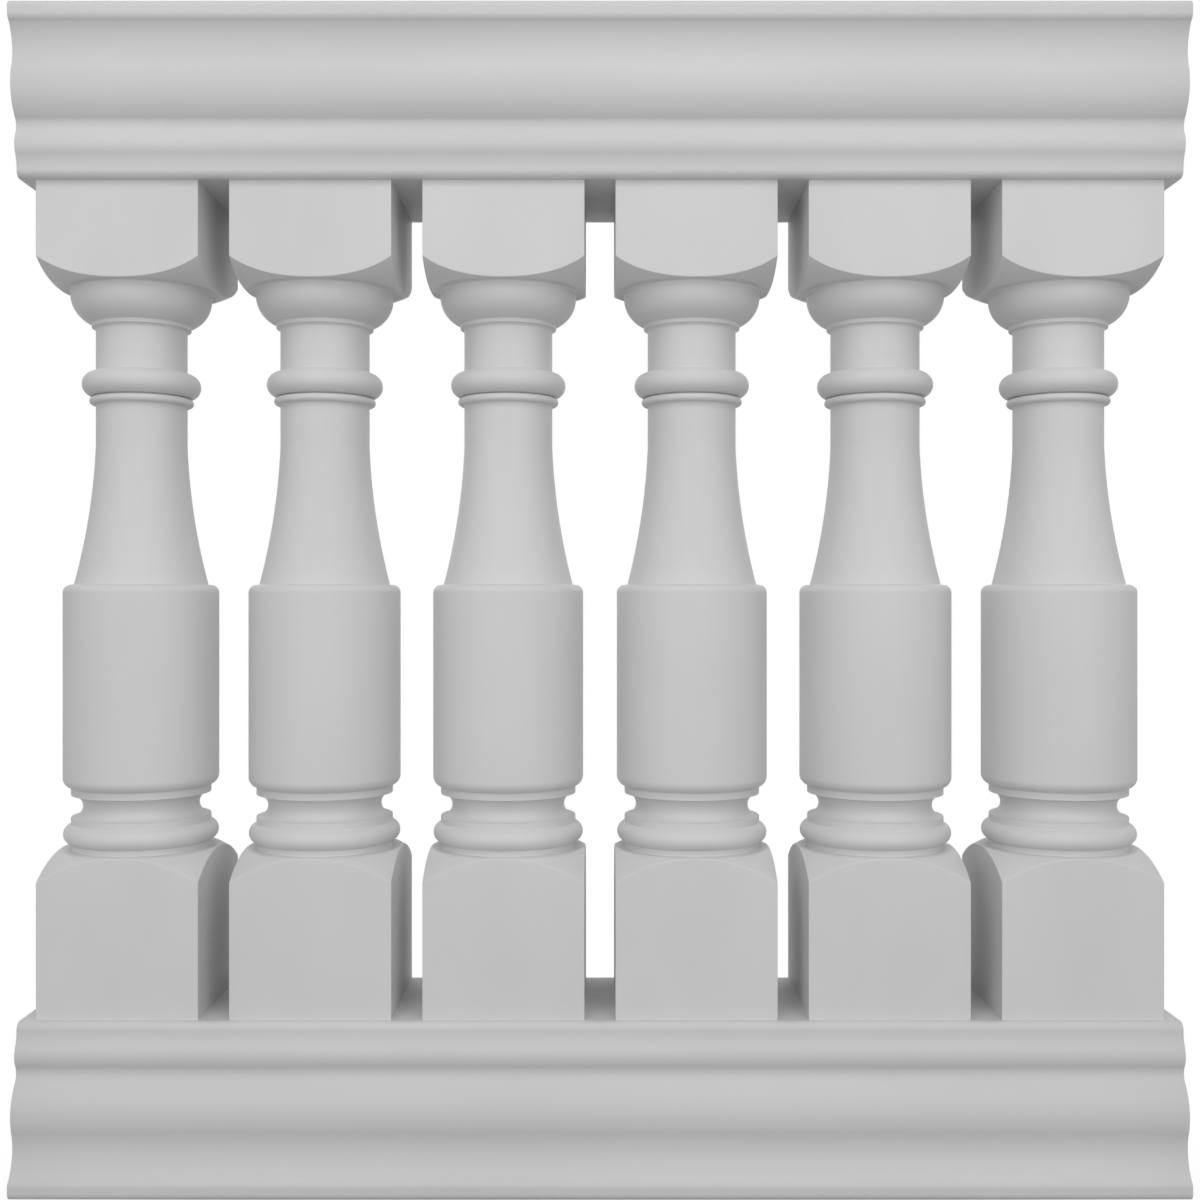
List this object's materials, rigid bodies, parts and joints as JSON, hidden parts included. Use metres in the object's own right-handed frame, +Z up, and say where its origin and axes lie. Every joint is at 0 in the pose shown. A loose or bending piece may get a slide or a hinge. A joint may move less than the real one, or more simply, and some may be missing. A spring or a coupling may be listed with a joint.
{
  "type": "deck railing section",
  "caption": "Straight deck railing section: turned balusters with square blocks stand between a moulded top rail and the same moulding turned over as the bottom rail.",
  "frame": {"origin": "on the floor, under the middle of the bottom rail", "axes": "+X along the rails, -Y to the front of the picture, +Z up"},
  "size_m": [0.9144, 0.1804, 0.9271],
  "materials": {
    "rail": "satin primer",
    "baluster": "satin primer"
  },
  "bodies": {
    "root": {"bottom_rail": "rail", "top_rail": "rail", "baluster_1": "baluster", "baluster_2": "baluster", "baluster_3": "baluster", "baluster_4": "baluster", "baluster_5": "baluster", "baluster_6": "baluster"}
  },
  "joints": []
}
